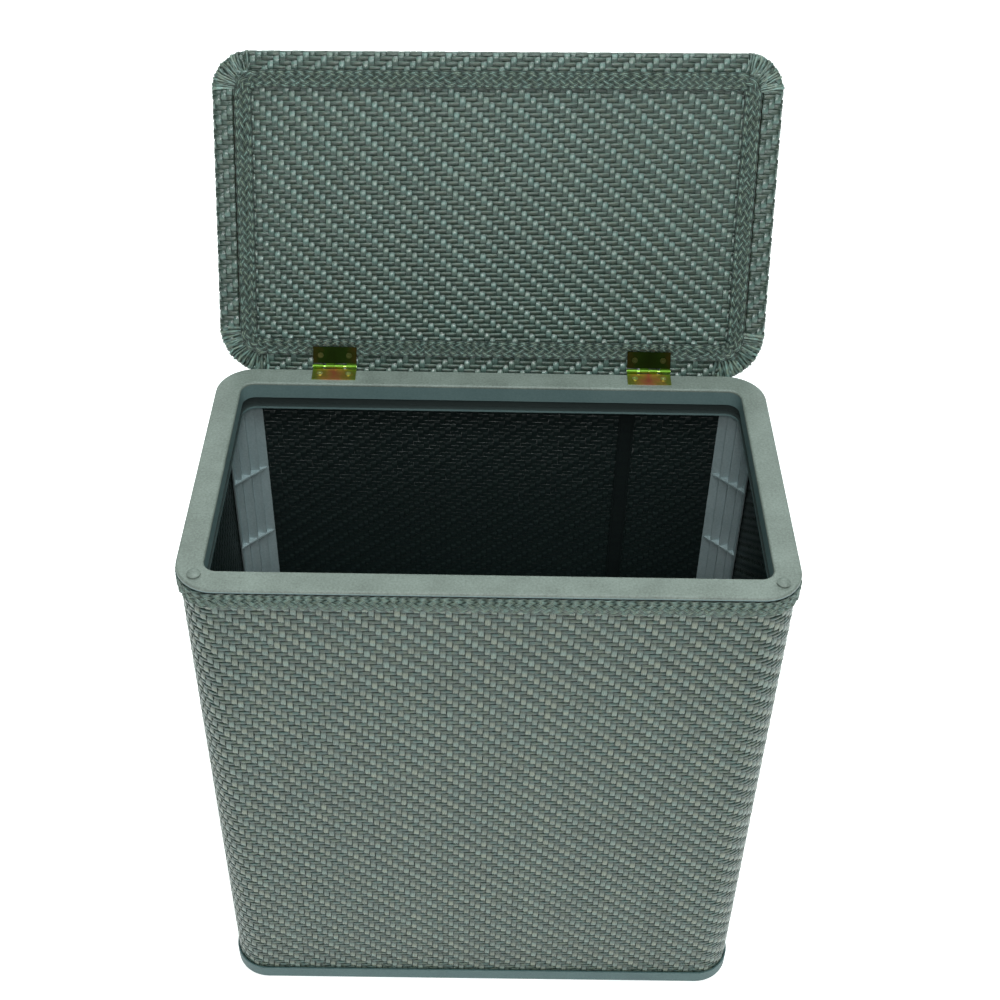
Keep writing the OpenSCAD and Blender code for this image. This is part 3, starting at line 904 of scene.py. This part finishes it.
# Heights of the rim's painted shade under the inner shelf and of its painted cool reflection.
rim_shaded_recess = ((rim_low[2] + RIM_LIP) * MM, (rim_high[2] - RIM_SHELF) * MM,
              (rim_high[2] - RIM_FACE) * MM)
paint(plastic_material("rim_plastic", srgb(104, 110, 104), srgb(133, 140, 134), 0.36, 0.25,
                       rim_shaded_recess), "rim_frame", "lid_rest_bumpers")
paint(plastic_material("base_plastic", srgb(66, 90, 92), srgb(84, 108, 108), 0.45), "base_tray")
paint(plastic_material("post_plastic", srgb(152, 168, 172), srgb(174, 187, 191), 0.3, 0.12),
      "corner_post_front_left", "corner_post_front_right",
      "corner_post_rear_left", "corner_post_rear_right")
zinc = [(0.1, srgb(235, 118, 100)), (0.38, srgb(220, 158, 88)), (0.75, srgb(150, 158, 70))]
olive = [(0.1, srgb(26, 36, 10)), (0.5, srgb(30, 44, 12)), (0.9, srgb(56, 44, 18))]
bright = [(0.1, srgb(225, 240, 140)), (0.5, srgb(160, 215, 90)), (0.9, srgb(230, 225, 180))]
steel = [(0.1, srgb(190, 190, 188)), (0.5, srgb(205, 206, 204)), (0.9, srgb(180, 182, 182))]
knuckle = srgb(88, 120, 40)
yellow = [(0.1, srgb(200, 210, 130)), (0.5, srgb(165, 190, 100)), (0.9, srgb(210, 200, 150))]
worn = [(0.1, srgb(58, 66, 30)), (0.5, srgb(44, 58, 26)), (0.9, srgb(84, 80, 44))]
paint(plated_material("zinc_gold", zinc, 0.25, knuckle), "left_rim_leaf", "right_rim_leaf")
paint(plated_material("zinc_olive", olive, 0.32, knuckle), "left_lid_leaf", "right_lid_leaf")
paint(plated_material("zinc_bright", bright, 0.2), "left_hinge_pin", "right_hinge_pin")
paint(plated_material("zinc_worn", worn, 0.3), "lid_leaf_screws")
paint(plated_material("zinc_yellow", yellow, 0.3), "rim_leaf_screws")
paint(plated_material("screw_steel", steel, 0.3), "post_top_screws", "post_base_screws")


# ---- floor, light and camera ----

def make_floor():
    """Plain pale floor that sweeps far beyond the view."""
    mesh = bpy.data.meshes.new("floor")
    reach = 9.0
    corners = [(x * reach, y * reach, 0) for x, y in ((-1, -1), (1, -1), (1, 1), (-1, 1))]
    mesh.from_pydata(corners, [], [(0, 1, 2, 3)])
    n = Nodes("floor")
    n.shader.inputs["Base Color"].default_value = (0.85, 0.85, 0.85, 1)
    n.shader.inputs["Emission Color"].default_value = (1, 1, 1, 1)
    n.shader.inputs["Emission Strength"].default_value = 0.75
    n.shader.inputs["Roughness"].default_value = 0.7
    n.shader.inputs["Specular IOR Level"].default_value = 0.1
    mesh.materials.append(n.material)
    floor = bpy.data.objects.new("floor", mesh)
    bpy.context.scene.collection.objects.link(floor)


def softbox(name, place, aim, size, power, tint, only_gloss=False):
    """Rectangular lamp, aimed at a point. With only_gloss it adds shine and no other light."""
    light = bpy.data.lights.new(name, "AREA")
    light.shape = "RECTANGLE"
    light.size, light.size_y = size
    light.energy = power
    light.color = tint
    lamp = bpy.data.objects.new(name, light)
    lamp.location = place
    lamp.visible_camera = False
    lamp.visible_diffuse = not only_gloss
    lamp.rotation_mode = "QUATERNION"
    lamp.rotation_quaternion = (Vector(aim) - Vector(place)).to_track_quat("-Z", "Y")
    bpy.context.scene.collection.objects.link(lamp)


def make_world(fill):
    """A dim cool room round the object, with white where the camera looks past the floor."""
    world = bpy.data.worlds.new("room")
    bpy.context.scene.world = world
    world.use_nodes = True
    tree = world.node_tree
    path = tree.nodes.new("ShaderNodeLightPath")
    mix = tree.nodes.new("ShaderNodeMix")
    mix.data_type = "RGBA"
    mix.inputs[6].default_value = fill
    mix.inputs[7].default_value = (1, 1, 1, 1)
    tree.links.new(path.outputs["Is Camera Ray"], mix.inputs[0])
    tree.links.new(mix.outputs[2], tree.nodes["Background"].inputs["Color"])


def make_camera(place, yaw, pitch, roll, lens):
    """Camera at a place in metres, turned by yaw to the right, pitch down and roll, in degrees."""
    yaw, pitch, roll = (math.radians(a) for a in (yaw, pitch, roll))
    ahead = Vector((math.sin(yaw) * math.cos(pitch), math.cos(yaw) * math.cos(pitch),
                    -math.sin(pitch)))
    right = Vector((math.cos(yaw), -math.sin(yaw), 0))
    up = right.cross(ahead)
    tilted_right = right * math.cos(roll) + up * math.sin(roll)
    tilted_up = up * math.cos(roll) - right * math.sin(roll)
    data = bpy.data.cameras.new("camera")
    data.sensor_width, data.lens = 36.0, lens
    data.clip_start, data.clip_end = 0.05, 50.0
    camera = bpy.data.objects.new("camera", data)
    turn = Matrix((tilted_right, tilted_up, -ahead)).transposed()
    camera.matrix_world = Matrix.Translation(place) @ turn.to_4x4()
    bpy.context.scene.collection.objects.link(camera)
    bpy.context.scene.camera = camera


make_floor()
make_world((0.175, 0.235, 0.222, 1))
softbox("overhead", (0.25, -0.45, 3.0), (0, 0, 0.3), (2.0, 2.2), 60.0, (0.87, 1.0, 0.98))
softbox("backdrop", (0, 2.6, 2.3), (0, 0, 0.6), (4.0, 2.2), 50.0, (0.92, 1.0, 0.97))
softbox("flash", (0.02, -1.1, 1.55), (0, 0.1, 0.5), (0.35, 0.25), 5.5, (1.0, 0.99, 0.96))
softbox("glint", (-0.28, -1.15, 1.35), (-0.1, 0.2, 0.68), (0.22, 0.22), 3.6, (0.9, 1.0, 1.0),
        only_gloss=True)
make_camera((-0.0036, -1.0005, 1.3933), yaw=0.699, pitch=41.097, roll=1.362, lens=55.22)
bpy.context.scene.view_settings.view_transform = "Standard"
